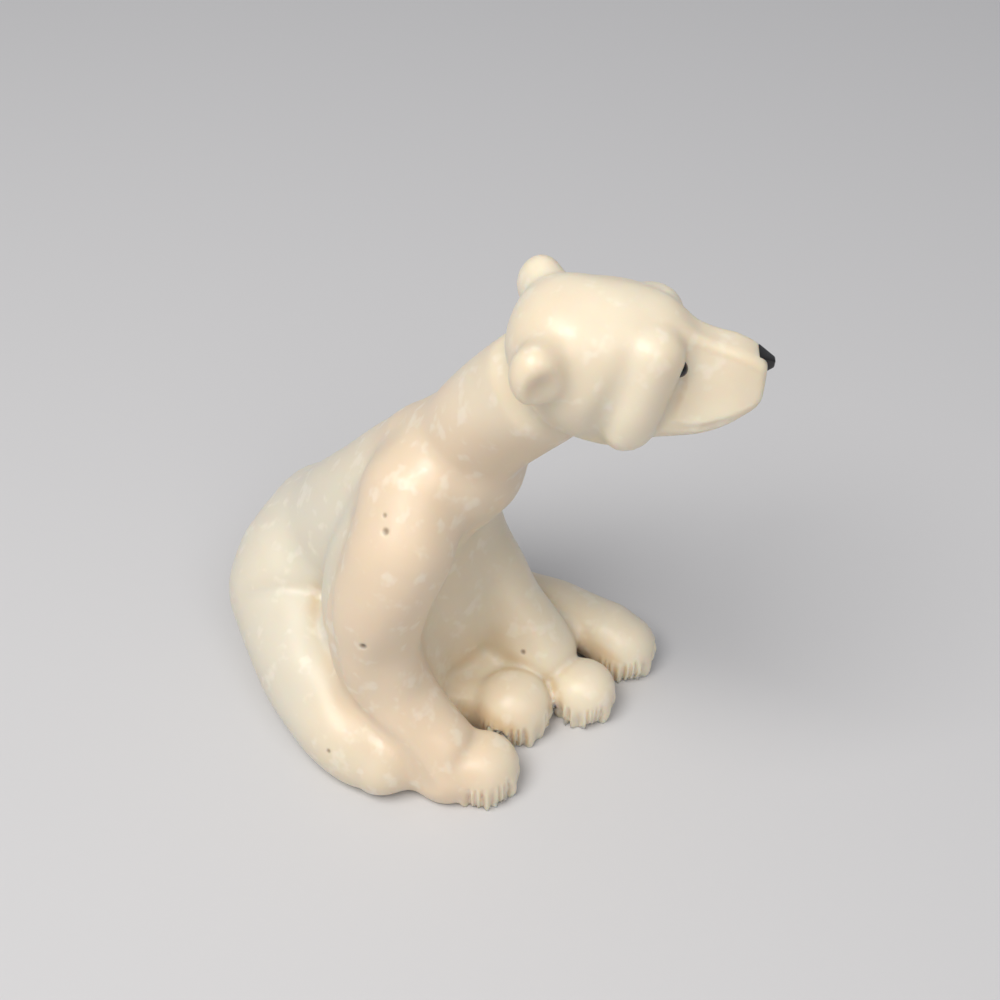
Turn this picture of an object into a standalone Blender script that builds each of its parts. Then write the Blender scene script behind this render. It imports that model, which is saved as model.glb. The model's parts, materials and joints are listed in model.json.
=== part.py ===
"""A sitting bear carved from one block of pale soapstone, with a black nose and eyes let in.

The carving is one blended form. Limbs are smooth chains of balls, lumps are ellipsoids, and
creases are soft grooves. A rough blank of overlapping balls is remeshed, its points are drawn on
to that form, and a flat underside is sawn off. The bear faces -Y, with its right side at -X.
"""
import math

import bmesh
import bpy
import numpy as np
from mathutils import Matrix, Vector

# Driving sizes, in metres.
HEIGHT = 0.085
CLEARANCE = 0.0003
NOSE_WIDTH = 0.0034
NOSE_HEIGHT = 0.0030
NOSE_TIP = 0.0011
NOSE_PROUD = 0.0014
NOSE_SEAT = 0.0009
EYE_DIAMETER = 0.0022
EYE_PROUD = 0.0004
VOXEL = 0.00085
STONE_TRIANGLES = 8800

# Shares of the height, in hundredths: one unit of the carving is a hundredth of the height.
UNIT = HEIGHT / 100

# The head: its middle, its turn to the bear's left and its dip, in degrees, and how far it reaches.
HEAD_PLACE = np.array((2.0, -43.5, 88.0))
HEAD_TURN = 34.5
HEAD_DIP = 4.0
EAR_TURN = 28.0
HEAD_REACH = 34
HEAD_FILLET = 1.5

# Nothing of the carving is farther than this from a point worth asking about.
FAR = 60.0

# Each chain is a row of (place, radius).
TRUNK = [((0, 12.0, 17.6), 14.6), ((0, 1.0, 31), 14.4), ((0, -10.0, 45.5), 12.6), ((0, -19, 56), 10.6)]
HIPS = [((-8.5, 13.5, 16.5), 13.0), ((0, 14.0, 18.0), 13.5), ((5.5, 13.5, 17.5), 12.5)]
BELLY = [((0, -6, 34), 11.0), ((0, -9, 12), 13.0)]
NECK = [
    ((0, -15.8, 53.6), 10.6),
    ((0.1, -20.5, 60.5), 9.4),
    ((0.2, -24.9, 67.5), 9.4),
    ((1.0, -34.3, 79.0), 9.4),
]
RIGHT_LEG = [
    ((-12, 13.6, 12.5), 12.0),
    ((-20.7, 0, 9), 10.6),
    ((-26.5, -14, 6.5), 8.7),
    ((-27, -22.5, 5.5), 6.6),
]
LEFT_LEG = [
    ((12, 13.6, 12.5), 12.9),
    ((16.5, 2, 5), 6.8),
    ((19.8, -11, 4.0), 5.3),
    ((21.3, -24, 5.0), 5.7),
    ((22, -36, 5.5), 6.0),
]
RIGHT_SHANK = [((-12, -16, 3), 5.5), ((-7, -22, 2.5), 4.8), ((-4, -28, 3.0), 4.8)]
SEAT = [((8, -14, 4), 7.0), ((4, -22, 2.5), 5.0), ((4, -28, 1.5), 4.2)]
UNDER = [((0, 14, 8), 15.0), ((-3, -4, 4), 13.0), ((0, -17, 2), 8.5), ((1, -26, 1), 6.0)]
RIGHT_FLANK = [((-9, -12, 46), 8.0), ((-11.5, -9, 32), 9.5), ((-12, -9, 18), 10.0), ((-13, -12, 8), 10.0)]
LEFT_FLANK = [((7, -8, 46), 8.0), ((7, -7, 32), 9.0), ((8, -9, 18), 9.5), ((9, -13, 8), 9.0)]
RIGHT_ARM = [
    ((-10, -17.5, 54.5), 9.0),
    ((-17, -19.5, 47.5), 8.8),
    ((-20.3, -17.5, 38), 8.5),
    ((-21.2, -16.5, 28), 8.0),
    ((-21.2, -19, 18), 7.6),
    ((-20.8, -25, 11), 7.3),
    ((-20.0, -31.8, 4.8), 7.3),
]
LEFT_ARM = [
    ((8, -13.5, 52), 8.8),
    ((9.8, -9.5, 40), 8.2),
    ((9.8, -10.5, 29), 7.8),
    ((9.6, -18, 18.5), 7.2),
    ((9.0, -30.5, 7.5), 6.4),
]
BODY = [TRUNK, HIPS, BELLY]
LEGS = [RIGHT_LEG, LEFT_LEG]
FILLS = [RIGHT_FLANK, LEFT_FLANK, UNDER, RIGHT_SHANK, SEAT]
ARMS = [RIGHT_ARM, LEFT_ARM]
# The groups in the order that they are joined, each with its fillet.
JOINED = ((BODY, 3.0), (LEGS, 2.5), (FILLS, 2.0), ([NECK], 4.0), (ARMS, 4.0))
# The four paws in a row, from the bear's right: front, hind, front, hind.
PAWS = [
    ((-17.2, -36.5, 4.3), 6.8),
    ((-2.7, -32.5, 4.5), 7.1),
    ((8.2, -40.2, 4.5), 6.3),
    ((22.2, -39.8, 4.5), 6.3),
]
PAW_FILLET = 1.2
# Each crease is a row of places on the skin, with how deep it is cut there.
CREASES = [
    [
        ((-23.7, -14.9, 50.9), 0.0),
        ((-23.6, -10.7, 42.9), 0.7),
        ((-26.5, -11.6, 38.6), 0.9),
        ((-28.4, -14.0, 29.0), 0.9),
        ((-27.9, -15.5, 19.2), 0.9),
        ((-28.8, -20.9, 15.5), 0.9),
        ((-28.0, -27.2, 12.5), 0.8),
        ((-27.3, -32.4, 6.1), 0.6),
    ],
    [((-22.4, 14.9, 19.1), 0.4), ((-21.6, 12.6, 20.9), 0.6), ((-19.0, 7.9, 22.9), 0.7), ((-15.8, 3.3, 22.3), 0.3)],
    [((-2.4, -29.8, 86.5), 0.5), ((-6.7, -33.6, 84.4), 0.9), ((-7.7, -37.2, 81.1), 0.9), ((-5.5, -41.5, 77), 0.2)],
    [((-15.7, -34.8, 10.4), 0.5), ((-21.7, -36.1, 10.5), 0.7), ((-24.0, -36.4, 8.8), 0.4)],
]
CREASE_WIDTH = 1.7
PAW_CROWN = 0.92
PAW_FOOT = 1.5
CLAWS_IN_TURN = 14
CLAW_LENGTH = 0.9
CLAW_TOP = 4.5

# Places on the head are (ahead, to its left, up) from its middle.
SKULL = [
    ((-0.5, 0, 0.3), (11.3, 11.6, 11.4)),
    ((-5.0, 0, 3.0), (8.2, 9.6, 9.0)),
    ((4.5, 0, 3.6), (9.5, 8.6, 8.4)),
    ((2.5, 0, -5.0), (9.5, 9.0, 8.0)),
]
SKULL_FILLET = 3.0
# Stations of the muzzle: ahead, then the height, flat half-width and rounding of its bridge,
# and the same three of its lips.
MUZZLE = [
    (3.0, 9.0, 1.5, 2.0, -5.6, 3.8, 4.0),
    (8.0, 8.2, 1.5, 1.8, -5.6, 3.8, 4.0),
    (12.0, 6.9, 1.4, 1.5, -5.5, 3.7, 3.9),
    (16.5, 5.3, 1.5, 1.5, -4.8, 3.4, 3.6),
    (20.6, 4.1, 1.5, 1.5, -3.4, 2.9, 3.2),
    (24.7, 2.2, 1.3, 1.5, -1.4, 2.0, 2.5),
]
MUZZLE_FILLET = 2.0
SNOUT_END = 25.0
SNOUT_ROUNDING = 3.0
CHEEK_FOLD = [
    ((7.5, 4.7, 5.2), 5.0),
    ((6.6, 5.8, 1.5), 5.0),
    ((5.8, 6.4, -2.2), 5.0),
    ((5.2, 6.2, -5.4), 4.9),
]
FOLD_FILLET = 0.7
# A valley is a row of places, each with how deep it is there.
CHEEK_VALLEY = [
    ((4.6, 6.0, 9.8), 0.0),
    ((3.6, 9.4, 5.7), 0.4),
    ((1.6, 10.8, -1.9), 0.9),
    ((0.8, 8.0, -9.0), 1.1),
]
VALLEY_WIDTH = 1.9
EAR = (-8.6, 10.9, 4.4)
EAR_RADII = (3.6, 4.0, 4.8)
EAR_CUP = (-6.6, 15.0, 3.4)
EAR_CUP_RADII = (2.6, 2.4, 3.2)
EAR_CUP_ROUNDING = 2.4
EAR_FILLET = 3.2
NOSE_PLACE = (24.6, 0, 2.5)
EYE_PLACE = (12.0, 5.0, 3.6)
EYE_AIM = (0.97, 0.22, 0.08)


def turned_axes(turn, dip=0.0):
    """Rows are ahead, left and up, for something that faces -Y, then turns left and dips."""
    t, d = math.radians(turn), math.radians(dip)
    ahead = np.array([math.sin(t) * math.cos(d), -math.cos(t) * math.cos(d), -math.sin(d)])
    left = np.array([math.cos(t), math.sin(t), 0.0])
    return np.array([ahead, left, np.cross(ahead, left)])


def blend(a, b, width):
    """The union of two forms, with a fillet."""
    share = np.maximum(width - np.abs(a - b), 0) / width
    return np.minimum(a, b) - share * share * width / 4


def carve(a, b, width):
    """The first form with the second taken out of it."""
    return -blend(-a, b, width)


def near_only(form, points, low, high, reach):
    """A form worked out only in a box that stands clear of it by a reach, and guessed outside."""
    outside = np.maximum(np.maximum(low - points, points - high), 0)
    distance = np.linalg.norm(outside, axis=1) + reach
    inside = distance == reach
    if inside.any():
        distance[inside] = form(points[inside])
    return distance


def lump(points, centre, radii):
    """Distance to an ellipsoid."""
    offset = points - np.asarray(centre, float)
    radii = np.asarray(radii, float)
    far = np.linalg.norm(offset / radii, axis=1)
    slope = np.linalg.norm(offset / radii**2, axis=1)
    return far * (far - 1) / np.maximum(slope, 1e-6)


def curve_through(chain):
    """Cubics through the balls of a chain, one for each span, as place and radius together."""
    knots = np.array([[*place, radius] for place, radius in chain], float)
    padded = np.vstack([2 * knots[0] - knots[1], knots, 2 * knots[-1] - knots[-2]])
    spans = zip(padded, padded[1:], padded[2:], padded[3:])
    return np.array([
        [b, (c - a) / 2, (2 * a - 5 * b + 4 * c - d) / 2, (3 * b - a - 3 * c + d) / 2]
        for a, b, c, d in spans
    ])


def on_curve(power, share):
    """Place and radius at a share of each point's span, and how fast they change."""
    t = share[:, None]
    place = power[:, 0] + t * (power[:, 1] + t * (power[:, 2] + t * power[:, 3]))
    slope = power[:, 1] + t * (2 * power[:, 2] + 3 * t * power[:, 3])
    return place, slope


def nearest_on(points, powers, steps=3):
    """How far each point is from a curve, and the curve's radius there."""
    best = np.full(len(points), 1e6)
    span = np.zeros(len(points), int)
    share = np.zeros(len(points))
    for number, power in enumerate(powers):
        ticks = np.linspace(0, 1, steps + 1)[:, None] ** np.arange(4) @ power
        for step, (start, end) in enumerate(zip(ticks[:-1, :3], ticks[1:, :3])):
            line = end - start
            along = np.clip((points - start) @ line / (line @ line), 0, 1)
            near = ((points - start - along[:, None] * line) ** 2).sum(axis=1)
            closer = near < best
            best[closer] = near[closer]
            span[closer] = number
            share[closer] = (step + along[closer]) / steps
    power = powers[span]
    lowest = np.where(span == 0, 0.0, -0.3)
    highest = np.where(span == len(powers) - 1, 1.0, 1.3)
    for _ in range(3):
        place, slope = on_curve(power, share)
        miss = ((points - place[:, :3]) * slope[:, :3]).sum(axis=1)
        share = np.clip(share + miss / (slope[:, :3] ** 2).sum(axis=1), lowest, highest)
    place, _ = on_curve(power, share)
    return np.linalg.norm(points - place[:, :3], axis=1), place[:, 3]


def chain_box(chain, reach):
    """The box that a chain of balls fits in, with room to spare all round."""
    knots = np.array([[*place, radius] for place, radius in chain], float)
    spread = knots[:, 3].max() + reach
    return knots[:, :3].min(axis=0) - spread, knots[:, :3].max(axis=0) + spread


def limb(points, chain, reach=5.0):
    """Distance to a limb, for the points near it."""
    powers = curve_through(chain)

    def skin(close):
        gap, radius = nearest_on(close, powers)
        return gap - radius

    return near_only(skin, points, *chain_box(chain, reach), reach)


def groove(points, path, width):
    """How much a soft groove takes off, along a row of places, each with its own depth."""
    low, high = chain_box(path, 3 * width)
    inside = np.all((points > low) & (points < high), axis=1)
    taken = np.zeros(len(points))
    if inside.any():
        gap, depth = nearest_on(points[inside], curve_through(path))
        taken[inside] = depth * np.exp(-((gap / width) ** 2))
    return taken


HEAD_AXES = turned_axes(HEAD_TURN, HEAD_DIP)


def sided(place, side):
    """A place of the head's left side, on the side asked for."""
    return (place[0], place[1] * side, place[2])


def profile(at, stations):
    """Smooth values along a line, through a few stations."""
    table = np.array(stations, float)
    x, y = table[:, 0], table[:, 1:]
    slope = np.gradient(y, x, axis=0)
    at = np.clip(at, x[0], x[-1])
    span = np.clip(np.searchsorted(x, at) - 1, 0, len(x) - 2)
    width = (x[span + 1] - x[span])[:, None]
    t = (at - x[span])[:, None] / width
    start = (1 + 2 * t) * (1 - t) ** 2 * y[span] + t * (1 - t) ** 2 * width * slope[span]
    end = t**2 * (3 - 2 * t) * y[span + 1] + t**2 * (t - 1) * width * slope[span + 1]
    return (start + end).T


def muzzle(own):
    """A bridge and a wider pair of lips at each step ahead, with flat sides between them."""
    top, top_half, top_round, low, low_half, low_round = profile(own[:, 0], MUZZLE)
    down = np.clip((top - own[:, 2]) / (top - low), 0, 1)
    half = top_half + down * (low_half - top_half)
    rounding = top_round + down * (low_round - top_round)
    above = np.maximum(own[:, 2] - top, low - own[:, 2])
    beyond = np.array([np.abs(own[:, 1]) - half, above, MUZZLE[0][0] - own[:, 0]])
    return np.linalg.norm(np.maximum(beyond, 0), axis=0) + np.minimum(beyond.max(axis=0), 0) - rounding


def ear(own, side):
    """A round ear with a shallow hollow that faces ahead and out."""
    turn = math.radians(EAR_TURN * side)
    axes = np.array([[math.cos(turn), math.sin(turn), 0], [-math.sin(turn), math.cos(turn), 0], [0, 0, 1]])
    shell = lump((own - sided(EAR, side)) @ axes.T, (0, 0, 0), EAR_RADII)
    hollow = lump((own - sided(EAR_CUP, side)) @ axes.T, (0, 0, 0), EAR_CUP_RADII)
    return carve(shell, hollow, EAR_CUP_ROUNDING)


def head_distance(points):
    """Skull, crown, jaw, muzzle, cheek folds, mouth and ears."""
    own = (points - HEAD_PLACE) @ HEAD_AXES.T
    whole = lump(own, *SKULL[0])
    for centre, radii in SKULL[1:]:
        whole = blend(whole, lump(own, centre, radii), SKULL_FILLET)
    whole = blend(whole, muzzle(own), MUZZLE_FILLET)
    whole = carve(whole, SNOUT_END - own[:, 0], SNOUT_ROUNDING)
    for side in (-1, 1):
        fold = [(sided(place, side), size) for place, size in CHEEK_FOLD]
        whole = blend(whole, limb(own, fold), FOLD_FILLET)
        valley = [(sided(place, side), deep) for place, deep in CHEEK_VALLEY]
        whole = whole + groove(own, valley, VALLEY_WIDTH)
        whole = blend(whole, ear(own, side), EAR_FILLET)
    return whole


def head(points):
    return near_only(head_distance, points, HEAD_PLACE - HEAD_REACH, HEAD_PLACE + HEAD_REACH, 5.0)


def paw_distance(points, place, size):
    """A round paw with a steep foot, whose front edge is a fringe of short claws at the floor."""
    offset = points - np.asarray(place)
    around = np.arctan2(offset[:, 0], -offset[:, 1])
    tooth = 1 - np.abs((around * CLAWS_IN_TURN / (2 * math.pi)) % 1 * 2 - 1)
    low = np.clip(1 - points[:, 2] / CLAW_TOP, 0, 1)
    front = np.clip((np.cos(around) + 0.5) * 2, 0, 1)
    height = np.where(offset[:, 2] > 0, offset[:, 2] / PAW_CROWN, offset[:, 2] / PAW_FOOT)
    ball = np.linalg.norm(np.column_stack([offset[:, :2], height]), axis=1) - size
    return ball - CLAW_LENGTH * (tooth - 0.4) * low * front


def paw(points, place, size):
    spread = size + 5
    low, high = np.asarray(place) - spread, np.asarray(place) + spread
    return near_only(lambda close: paw_distance(close, place, size), points, low, high, 3.0)


def carving(points):
    """Distance to the whole bear, before its underside is sawn flat."""
    body = np.full(len(points), FAR)
    for chains, fillet in JOINED:
        for chain in chains:
            body = blend(body, limb(points, chain), fillet)
    for place, size in PAWS:
        body = blend(body, paw(points, place, size), PAW_FILLET)
    body = blend(body, head(points), HEAD_FILLET)
    for path in CREASES:
        body = body + groove(points, path, CREASE_WIDTH)
    return body


def head_to_bear(place):
    """A place on the head, in metres in the bear's frame."""
    return Vector((np.asarray(place) @ HEAD_AXES + HEAD_PLACE) * UNIT)


def aim(direction):
    """A turn that takes +Z to a direction given on the head."""
    return Vector(np.asarray(direction) @ HEAD_AXES).to_track_quat("Z", "Y").to_matrix().to_4x4()


def clear_scene():
    for old in list(bpy.data.objects):
        bpy.data.objects.remove(old, do_unlink=True)


def collection(name):
    new = bpy.data.collections.new(name)
    bpy.context.scene.collection.children.link(new)
    return new


def material(name, colour, roughness):
    new = bpy.data.materials.new(name)
    new.use_nodes = True
    shader = new.node_tree.nodes["Principled BSDF"]
    shader.inputs["Base Color"].default_value = (*colour, 1)
    shader.inputs["Roughness"].default_value = roughness
    shader.inputs["Metallic"].default_value = 0.0
    return new


def add_object(name, bm, group, finish=None):
    mesh = bpy.data.meshes.new(name)
    bm.to_mesh(mesh)
    bm.free()
    new = bpy.data.objects.new(name, mesh)
    group.objects.link(new)
    if finish:
        mesh.materials.append(finish)
    return new


def apply_modifiers(thing):
    """Replace an object's mesh by its mesh with the modifiers worked in."""
    bpy.context.view_layer.update()
    seen = thing.evaluated_get(bpy.context.evaluated_depsgraph_get())
    mesh = bpy.data.meshes.new_from_object(seen)
    thing.modifiers.clear()
    thing.data = mesh


def chain_balls(chain, spacing=0.4):
    """Balls close enough along a chain to cover it."""
    balls = []
    for power in curve_through(chain):
        length = np.linalg.norm(power[1:, :3].sum(axis=0))
        count = max(2, int(length / (spacing * power[0][3])) + 1)
        for share in np.linspace(0, 1, count):
            ball = share ** np.arange(4) @ power
            balls.append((ball[:3], ball[3]))
    return balls


def blank_balls():
    balls = [ball for chains, _ in JOINED for chain in chains for ball in chain_balls(chain)]
    balls += [(np.array(place), size) for place, size in PAWS]
    on_head = [((-0.5, 0, 0.3), 11.2), ((4.5, 0, 3.6), 8.4), ((2.5, 0, -5.0), 8.5)]
    on_head += [((x, 0, (top + low) / 2), (top - low) / 2) for x, top, _, _, low, *_ in MUZZLE]
    on_head += [(sided(p, s), r) for s in (-1, 1) for p, r in ((EAR, 3.6), *CHEEK_FOLD)]
    balls += [(np.asarray(place) @ HEAD_AXES + HEAD_PLACE, size) for place, size in on_head]
    return balls


CORNERS = np.array([(1, 1, 1), (1, -1, -1), (-1, 1, -1), (-1, -1, 1)], float)


def settle(points, rounds, reach=0.12, most=1.5):
    """Draw points on to the carved surface along its slope."""
    for _ in range(rounds):
        reading = np.array([carving(points + reach * corner) for corner in CORNERS])
        slope = reading.T @ CORNERS / (4 * reach)
        far = reading.mean(axis=0)
        move = -(far / np.maximum((slope**2).sum(axis=1), 0.05))[:, None] * slope
        length = np.linalg.norm(move, axis=1, keepdims=True)
        points = points + move * np.minimum(1, most / np.maximum(length, 1e-9))
    return points


def settle_mesh(thing, rounds):
    count = len(thing.data.vertices)
    flat = np.empty(count * 3)
    thing.data.vertices.foreach_get("co", flat)
    points = settle(flat.reshape(-1, 3) / UNIT, rounds)
    thing.data.vertices.foreach_set("co", (points * UNIT).ravel())
    thing.data.update()


def remesh(thing, voxel):
    modifier = thing.modifiers.new("remesh", "REMESH")
    modifier.mode = "VOXEL"
    modifier.voxel_size = voxel
    modifier.adaptivity = 0
    apply_modifiers(thing)


def difference(thing, cutter):
    modifier = thing.modifiers.new("cut", "BOOLEAN")
    modifier.operation = "DIFFERENCE"
    modifier.solver = "EXACT"
    modifier.object = cutter
    apply_modifiers(thing)


def make_cutter(name, bm, group):
    cutter = add_object(name, bm, group)
    cutter.hide_render = True
    cutter.display_type = "WIRE"
    return cutter


def nose_form(grow=0.0):
    """A blunt four-sided pyramid that points ahead, its back end sunk in the snout."""
    bm = bmesh.new()
    length = NOSE_PROUD + NOSE_SEAT
    bmesh.ops.create_cone(
        bm,
        cap_ends=True,
        segments=4,
        radius1=0.5 * math.sqrt(2) * NOSE_WIDTH + grow * math.sqrt(2),
        radius2=0.5 * math.sqrt(2) * NOSE_TIP + grow * math.sqrt(2),
        depth=length + 2 * grow,
    )
    bmesh.ops.rotate(bm, verts=bm.verts, matrix=Matrix.Rotation(math.radians(45), 3, "Z"))
    squash = Matrix.Diagonal((NOSE_HEIGHT / NOSE_WIDTH, 1, 1, 1))
    middle = Matrix.Translation((0, 0, (NOSE_PROUD - NOSE_SEAT) / 2))
    place = Matrix.Translation(head_to_bear(NOSE_PLACE)) @ aim((1, 0, 0)) @ middle @ squash
    bmesh.ops.transform(bm, matrix=place, verts=bm.verts)
    return bm


def eye_form(side, grow=0.0):
    """A round bead sunk in the face, standing a little proud of it."""
    bm = bmesh.new()
    bmesh.ops.create_uvsphere(bm, u_segments=12, v_segments=8, radius=EYE_DIAMETER / 2 + grow)
    spot = np.asarray(sided(EYE_PLACE, side)) @ HEAD_AXES + HEAD_PLACE
    surface = settle(spot[None], 8)[0]
    aimed = Vector(np.asarray(sided(EYE_AIM, side)) @ HEAD_AXES).normalized()
    centre = Vector(surface * UNIT) + aimed * (EYE_PROUD - EYE_DIAMETER / 2)
    bmesh.ops.transform(bm, matrix=Matrix.Translation(centre), verts=bm.verts)
    return bm


def make_stone(group, finish):
    """The carved block: blank, remesh, settle, thin out, settle again."""
    bm = bmesh.new()
    for place, size in blank_balls():
        ball = Matrix.Translation(Vector(place * UNIT))
        bmesh.ops.create_icosphere(bm, subdivisions=2, radius=size * UNIT, matrix=ball)
    stone = add_object("bear", bm, group)
    remesh(stone, VOXEL)
    settle_mesh(stone, 3)
    remesh(stone, VOXEL)
    settle_mesh(stone, 2)
    thin = stone.modifiers.new("thin", "DECIMATE")
    thin.ratio = STONE_TRIANGLES / (2 * len(stone.data.polygons))
    apply_modifiers(stone)
    settle_mesh(stone, 2)
    stone.data.materials.append(finish)
    return stone


def make_saw(group):
    """A block whose top is the flat underside of the carving."""
    bm = bmesh.new()
    size = 2 * HEIGHT
    bmesh.ops.create_cube(bm, size=size, matrix=Matrix.Translation((0, 0, -size / 2)))
    return make_cutter("saw", bm, group)


def centre_on_origin(pieces, others):
    """Move everything so that the middle of the pieces' box stands over the origin."""
    corners = np.array([point.co for piece in pieces for point in piece.data.vertices])
    middle = (corners.min(axis=0) + corners.max(axis=0)) / 2
    for thing in (*pieces, *others):
        thing.data.transform(Matrix.Translation((-middle[0], -middle[1], 0)))


def build():
    clear_scene()
    bear_group = collection("soapstone_bear")
    cutter_group = collection("cutters")
    cream = material("cream_stone", (0.83, 0.74, 0.58), 0.42)
    black = material("black_stone", (0.012, 0.011, 0.012), 0.18)

    stone = make_stone(bear_group, cream)
    difference(stone, make_saw(cutter_group))
    difference(stone, make_cutter("nose_socket", nose_form(CLEARANCE), cutter_group))
    for name, side in (("right_eye", -1), ("left_eye", 1)):
        difference(stone, make_cutter(name + "_socket", eye_form(side, CLEARANCE), cutter_group))
        add_object(name, eye_form(side), bear_group, black)
    add_object("nose", nose_form(), bear_group, black)
    for piece in bear_group.objects:
        if piece.name != "nose":
            piece.data.shade_smooth()
    centre_on_origin(bear_group.objects, cutter_group.objects)


build()
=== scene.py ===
# %% [markdown]
# # A soapstone bear, step by step
# The object is a palm-size bear carved from one block of pale, waxy stone. It sits on its own flat
# underside, turns its head to its left, and has a black nose and two black eyes let into the face.
# The solids that give its size, weight and footing are made elsewhere. This lesson dresses them:
# it carves the fine surface, gives each stone its polish, and lights the bear as in a small studio.

# %% Load the frame
import json
import math

import bmesh
import bpy
import numpy as np
from mathutils import Matrix, Vector

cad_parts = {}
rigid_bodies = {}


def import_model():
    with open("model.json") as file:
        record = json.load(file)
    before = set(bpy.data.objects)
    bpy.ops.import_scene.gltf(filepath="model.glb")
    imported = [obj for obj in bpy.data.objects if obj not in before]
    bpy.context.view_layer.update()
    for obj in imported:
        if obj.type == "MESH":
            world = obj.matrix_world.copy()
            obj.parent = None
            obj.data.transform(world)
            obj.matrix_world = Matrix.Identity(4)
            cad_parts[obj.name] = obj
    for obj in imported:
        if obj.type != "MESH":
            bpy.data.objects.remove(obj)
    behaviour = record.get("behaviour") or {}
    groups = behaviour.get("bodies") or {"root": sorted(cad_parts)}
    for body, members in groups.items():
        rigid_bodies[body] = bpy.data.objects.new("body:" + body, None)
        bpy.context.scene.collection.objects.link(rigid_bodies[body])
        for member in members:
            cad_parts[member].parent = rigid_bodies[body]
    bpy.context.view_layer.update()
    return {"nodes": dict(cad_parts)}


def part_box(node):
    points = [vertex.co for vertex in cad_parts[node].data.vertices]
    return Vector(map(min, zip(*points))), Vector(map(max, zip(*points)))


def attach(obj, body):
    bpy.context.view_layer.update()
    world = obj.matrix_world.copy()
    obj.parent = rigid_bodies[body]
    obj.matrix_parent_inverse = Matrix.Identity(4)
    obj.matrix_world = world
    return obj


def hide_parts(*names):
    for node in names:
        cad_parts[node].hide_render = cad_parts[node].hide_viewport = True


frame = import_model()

BEAR_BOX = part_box("bear")
print("nodes:", sorted(frame["nodes"]))
print("bear is", [round(1000 * (b - a), 1) for a, b in zip(*BEAR_BOX)], "mm")

# %% [markdown]
# ## How a smooth carving can be described
# A sculptor roughs out limbs first, lets them run into each other, and then cuts creases. The same
# can be done with distances. For any point in space, a limb says how far the point is from its
# skin, with a minus sign inside. Two limbs are joined by taking the smaller distance, rounded off
# where the two are nearly equal, and that rounding is the fillet. A crease adds a little to the
# distance along a line, which takes stone away there. The bear is drawn on in its own units:
# one unit is a hundredth of its height, the middle of the trunk stands at x = 0, and the bear
# faces -Y.

# %% Joining and cutting forms
FAR = 60.0


def blend(a, b, width):
    """The union of two forms, with a fillet."""
    share = np.maximum(width - np.abs(a - b), 0) / width
    return np.minimum(a, b) - share * share * width / 4


def carve(a, b, width):
    """The first form with the second taken out of it."""
    return -blend(-a, b, width)


def near_only(form, points, low, high, reach):
    """A form worked out only in a box that stands clear of it by a reach, and guessed outside."""
    outside = np.maximum(np.maximum(low - points, points - high), 0)
    distance = np.linalg.norm(outside, axis=1) + reach
    inside = distance == reach
    if inside.any():
        distance[inside] = form(points[inside])
    return distance


def lump(points, centre, radii):
    """Distance to an ellipsoid."""
    offset = points - np.asarray(centre, float)
    radii = np.asarray(radii, float)
    far = np.linalg.norm(offset / radii, axis=1)
    slope = np.linalg.norm(offset / radii**2, axis=1)
    return far * (far - 1) / np.maximum(slope, 1e-6)


print("a fillet 3 units wide fills", -float(blend(0.0, 0.0, 3.0)), "units of the corner")

# %% [markdown]
# A limb is a short chain of balls, each with a place and a radius. A cubic curve runs through the
# balls, so the limb swells and bends smoothly. For each point the nearest place on the curve is
# found on short straight steps first, and then improved on the curve itself. Straight tapered
# tubes would be quicker, but they leave a ring at every ball.

# %% Limbs and grooves
def curve_through(chain):
    """Cubics through the balls of a chain, one for each span, as place and radius together."""
    knots = np.array([[*place, radius] for place, radius in chain], float)
    padded = np.vstack([2 * knots[0] - knots[1], knots, 2 * knots[-1] - knots[-2]])
    spans = zip(padded, padded[1:], padded[2:], padded[3:])
    return np.array([
        [b, (c - a) / 2, (2 * a - 5 * b + 4 * c - d) / 2, (3 * b - a - 3 * c + d) / 2]
        for a, b, c, d in spans
    ])


def on_curve(power, share):
    """Place and radius at a share of each point's span, and how fast they change."""
    t = share[:, None]
    place = power[:, 0] + t * (power[:, 1] + t * (power[:, 2] + t * power[:, 3]))
    slope = power[:, 1] + t * (2 * power[:, 2] + 3 * t * power[:, 3])
    return place, slope


def nearest_on(points, powers, steps=3):
    """How far each point is from a curve, and the curve's radius there."""
    best = np.full(len(points), 1e6)
    span = np.zeros(len(points), int)
    share = np.zeros(len(points))
    for number, power in enumerate(powers):
        ticks = np.linspace(0, 1, steps + 1)[:, None] ** np.arange(4) @ power
        for step, (start, end) in enumerate(zip(ticks[:-1, :3], ticks[1:, :3])):
            line = end - start
            along = np.clip((points - start) @ line / (line @ line), 0, 1)
            near = ((points - start - along[:, None] * line) ** 2).sum(axis=1)
            closer = near < best
            best[closer] = near[closer]
            span[closer] = number
            share[closer] = (step + along[closer]) / steps
    power = powers[span]
    lowest = np.where(span == 0, 0.0, -0.3)
    highest = np.where(span == len(powers) - 1, 1.0, 1.3)
    for _ in range(3):
        place, slope = on_curve(power, share)
        miss = ((points - place[:, :3]) * slope[:, :3]).sum(axis=1)
        share = np.clip(share + miss / (slope[:, :3] ** 2).sum(axis=1), lowest, highest)
    place, _ = on_curve(power, share)
    return np.linalg.norm(points - place[:, :3], axis=1), place[:, 3]


def chain_box(chain, reach):
    """The box that a chain of balls fits in, with room to spare all round."""
    knots = np.array([[*place, radius] for place, radius in chain], float)
    spread = knots[:, 3].max() + reach
    return knots[:, :3].min(axis=0) - spread, knots[:, :3].max(axis=0) + spread


def limb(points, chain, reach=5.0):
    """Distance to a limb, for the points near it."""
    powers = curve_through(chain)

    def skin(close):
        gap, radius = nearest_on(close, powers)
        return gap - radius

    return near_only(skin, points, *chain_box(chain, reach), reach)


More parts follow.
